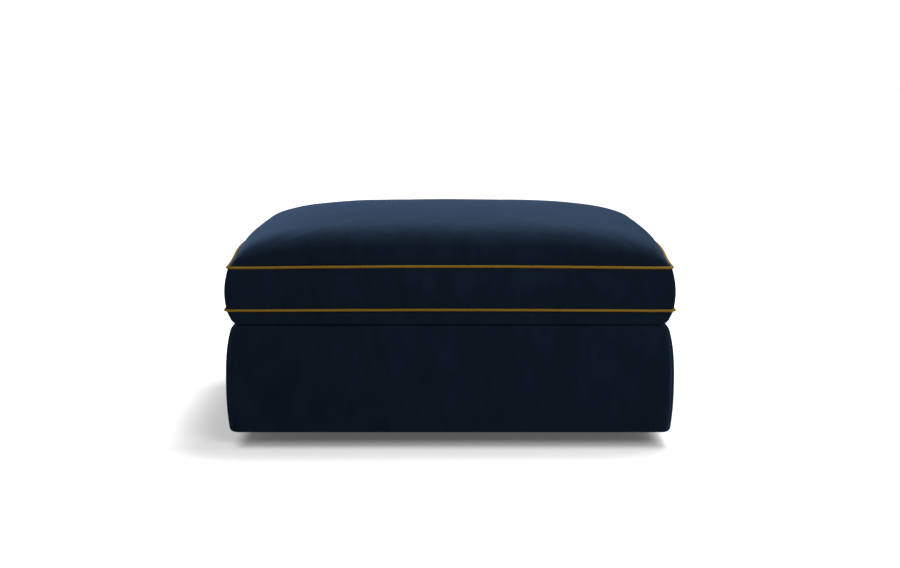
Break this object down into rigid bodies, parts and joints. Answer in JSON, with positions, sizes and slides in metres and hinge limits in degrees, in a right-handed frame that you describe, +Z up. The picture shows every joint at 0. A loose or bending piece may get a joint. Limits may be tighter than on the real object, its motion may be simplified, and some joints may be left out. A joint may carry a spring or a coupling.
{
  "type": "ottoman",
  "caption": "Rectangular upholstered ottoman: padded box base on low set-back feet, with a loose crowned seat cushion edged in contrasting piping and zipped at the back.",
  "frame": {"origin": "on the floor, under the middle of the base", "axes": "+Z up; +X along the width; the front faces -Y and the cushion's zip is at the back, +Y"},
  "size_m": [1.0162, 0.7112, 0.5152],
  "materials": {
    "velvet": "deep navy cut pile, soft sheen at grazing angles",
    "piping_cloth": "old gold plain weave",
    "cotton_cord": "twisted cotton filler cord",
    "lining_cloth": "plain woven cotton lining",
    "dust_cloth": "thin bonded black cloth",
    "hardboard": "pressed wood fibre board",
    "frame_wood": "sawn softwood",
    "foam": "open cell polyurethane foam",
    "fibre": "white polyester fibre wadding",
    "steel": "zinc plated",
    "foot_plastic": "black moulded plastic, fine grain",
    "glide_plastic": "dark grey hard plastic disc",
    "zip_nylon": "navy nylon coil on woven tape",
    "zip_metal": "dark nickel plated"
  },
  "bodies": {
    "base": {"back_board": "hardboard", "back_bottom_rail": "frame_wood", "back_cover": "velvet", "back_left_foot": "foot_plastic", "back_left_post": "frame_wood", "back_padding": "foam", "back_right_foot": "foot_plastic", "back_right_post": "frame_wood", "back_top_rail": "frame_wood", "corner_blocks": "frame_wood", "deck_cloth": "lining_cloth", "deck_pad": "foam", "dust_cover": "dust_cloth", "foot_glides": "glide_plastic", "foot_screws": "steel", "frame_screws": "steel", "front_board": "hardboard", "front_bottom_rail": "frame_wood", "front_cover": "velvet", "front_left_foot": "foot_plastic", "front_left_post": "frame_wood", "front_padding": "foam", "front_right_foot": "foot_plastic", "front_right_post": "frame_wood", "front_top_rail": "frame_wood", "insulator": "lining_cloth", "left_board": "hardboard", "left_bottom_rail": "frame_wood", "left_cover": "velvet", "left_foot_rail": "frame_wood", "left_padding": "foam", "left_top_rail": "frame_wood", "right_board": "hardboard", "right_bottom_rail": "frame_wood", "right_cover": "velvet", "right_foot_rail": "frame_wood", "right_padding": "foam", "right_top_rail": "frame_wood", "spring_clips": "steel", "springs": "steel", "staples": "steel", "tie_wires": "steel"},
    "cushion": {"foam_core": "foam", "fibre_wrap_top": "fibre", "fibre_wrap_bottom": "fibre", "fibre_wrap_sides": "fibre", "cushion_top_panel": "velvet", "cushion_bottom_panel": "velvet", "boxing_band": "velvet", "zip_panel_upper": "velvet", "zip_panel_lower": "velvet", "upper_piping": "piping_cloth", "lower_piping": "piping_cloth", "piping_cords": "cotton_cord", "zip_tape_upper": "zip_nylon", "zip_tape_lower": "zip_nylon", "zip_stops": "zip_metal"},
    "zip_slider": {"zip_slider": "zip_metal"},
    "zip_pull": {"zip_pull": "zip_metal"}
  },
  "joints": [
    {"name": "cushion_lift", "type": "slide", "parent": "base", "child": "cushion", "axis": [0, 0, 1], "range_m": [0, 0.3]},
    {"name": "zip_slide", "type": "slide", "parent": "cushion", "child": "zip_slider", "axis": [-1, 0, 0], "range_m": [0, 0.8384]},
    {"name": "pull_hinge", "type": "hinge", "parent": "zip_slider", "child": "zip_pull", "pos_m": [0.4192, 0.35212, 0.3695], "axis": [0, 0, -1], "range_deg": [0, 175]}
  ]
}
